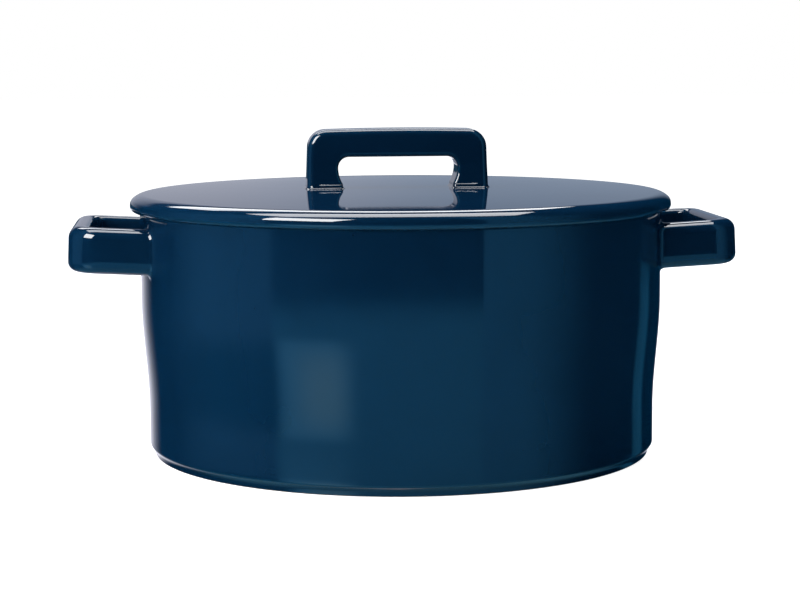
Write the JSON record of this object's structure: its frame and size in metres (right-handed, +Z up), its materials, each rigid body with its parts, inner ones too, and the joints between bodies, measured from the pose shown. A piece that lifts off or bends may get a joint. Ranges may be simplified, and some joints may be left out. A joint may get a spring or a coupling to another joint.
{
  "type": "covered casserole dish",
  "caption": "Round glazed stoneware casserole with strap side handles, a foot ring and an overhanging domed lid that lifts off by its bar handle.",
  "frame": {"origin": "on the pot's axis at the plane the foot ring stands on, which is the centre of the bounding box's underside", "axes": "+Z up along the pot's axis, +X through the right side handle, +Y to the back, with the lid's bar handle along X"},
  "size_m": [0.2802, 0.23, 0.1375],
  "materials": {
    "pot_glaze": "glossy deep teal-blue glaze inside and out, bare stoneware only under the foot ring",
    "left_side_handle_glaze": "glossy deep teal-blue glaze, a little thinner on the edges",
    "right_side_handle_glaze": "glossy deep teal-blue glaze, a little thinner on the edges",
    "lid_glaze": "mirror-glossy deep teal-blue glaze, thinner on the rim's edge",
    "lid_handle_glaze": "glossy deep teal-blue glaze, a little thinner on the edges"
  },
  "bodies": {
    "pot": {"pot_body": "pot_glaze", "left_side_handle": "left_side_handle_glaze", "right_side_handle": "right_side_handle_glaze"},
    "lid": {"lid_plate": "lid_glaze", "lid_handle": "lid_handle_glaze"}
  },
  "joints": [
    {"name": "lid_lift", "type": "slide", "parent": "pot", "child": "lid", "axis": [0, 0, 1], "range_m": [0, 0.15]}
  ]
}
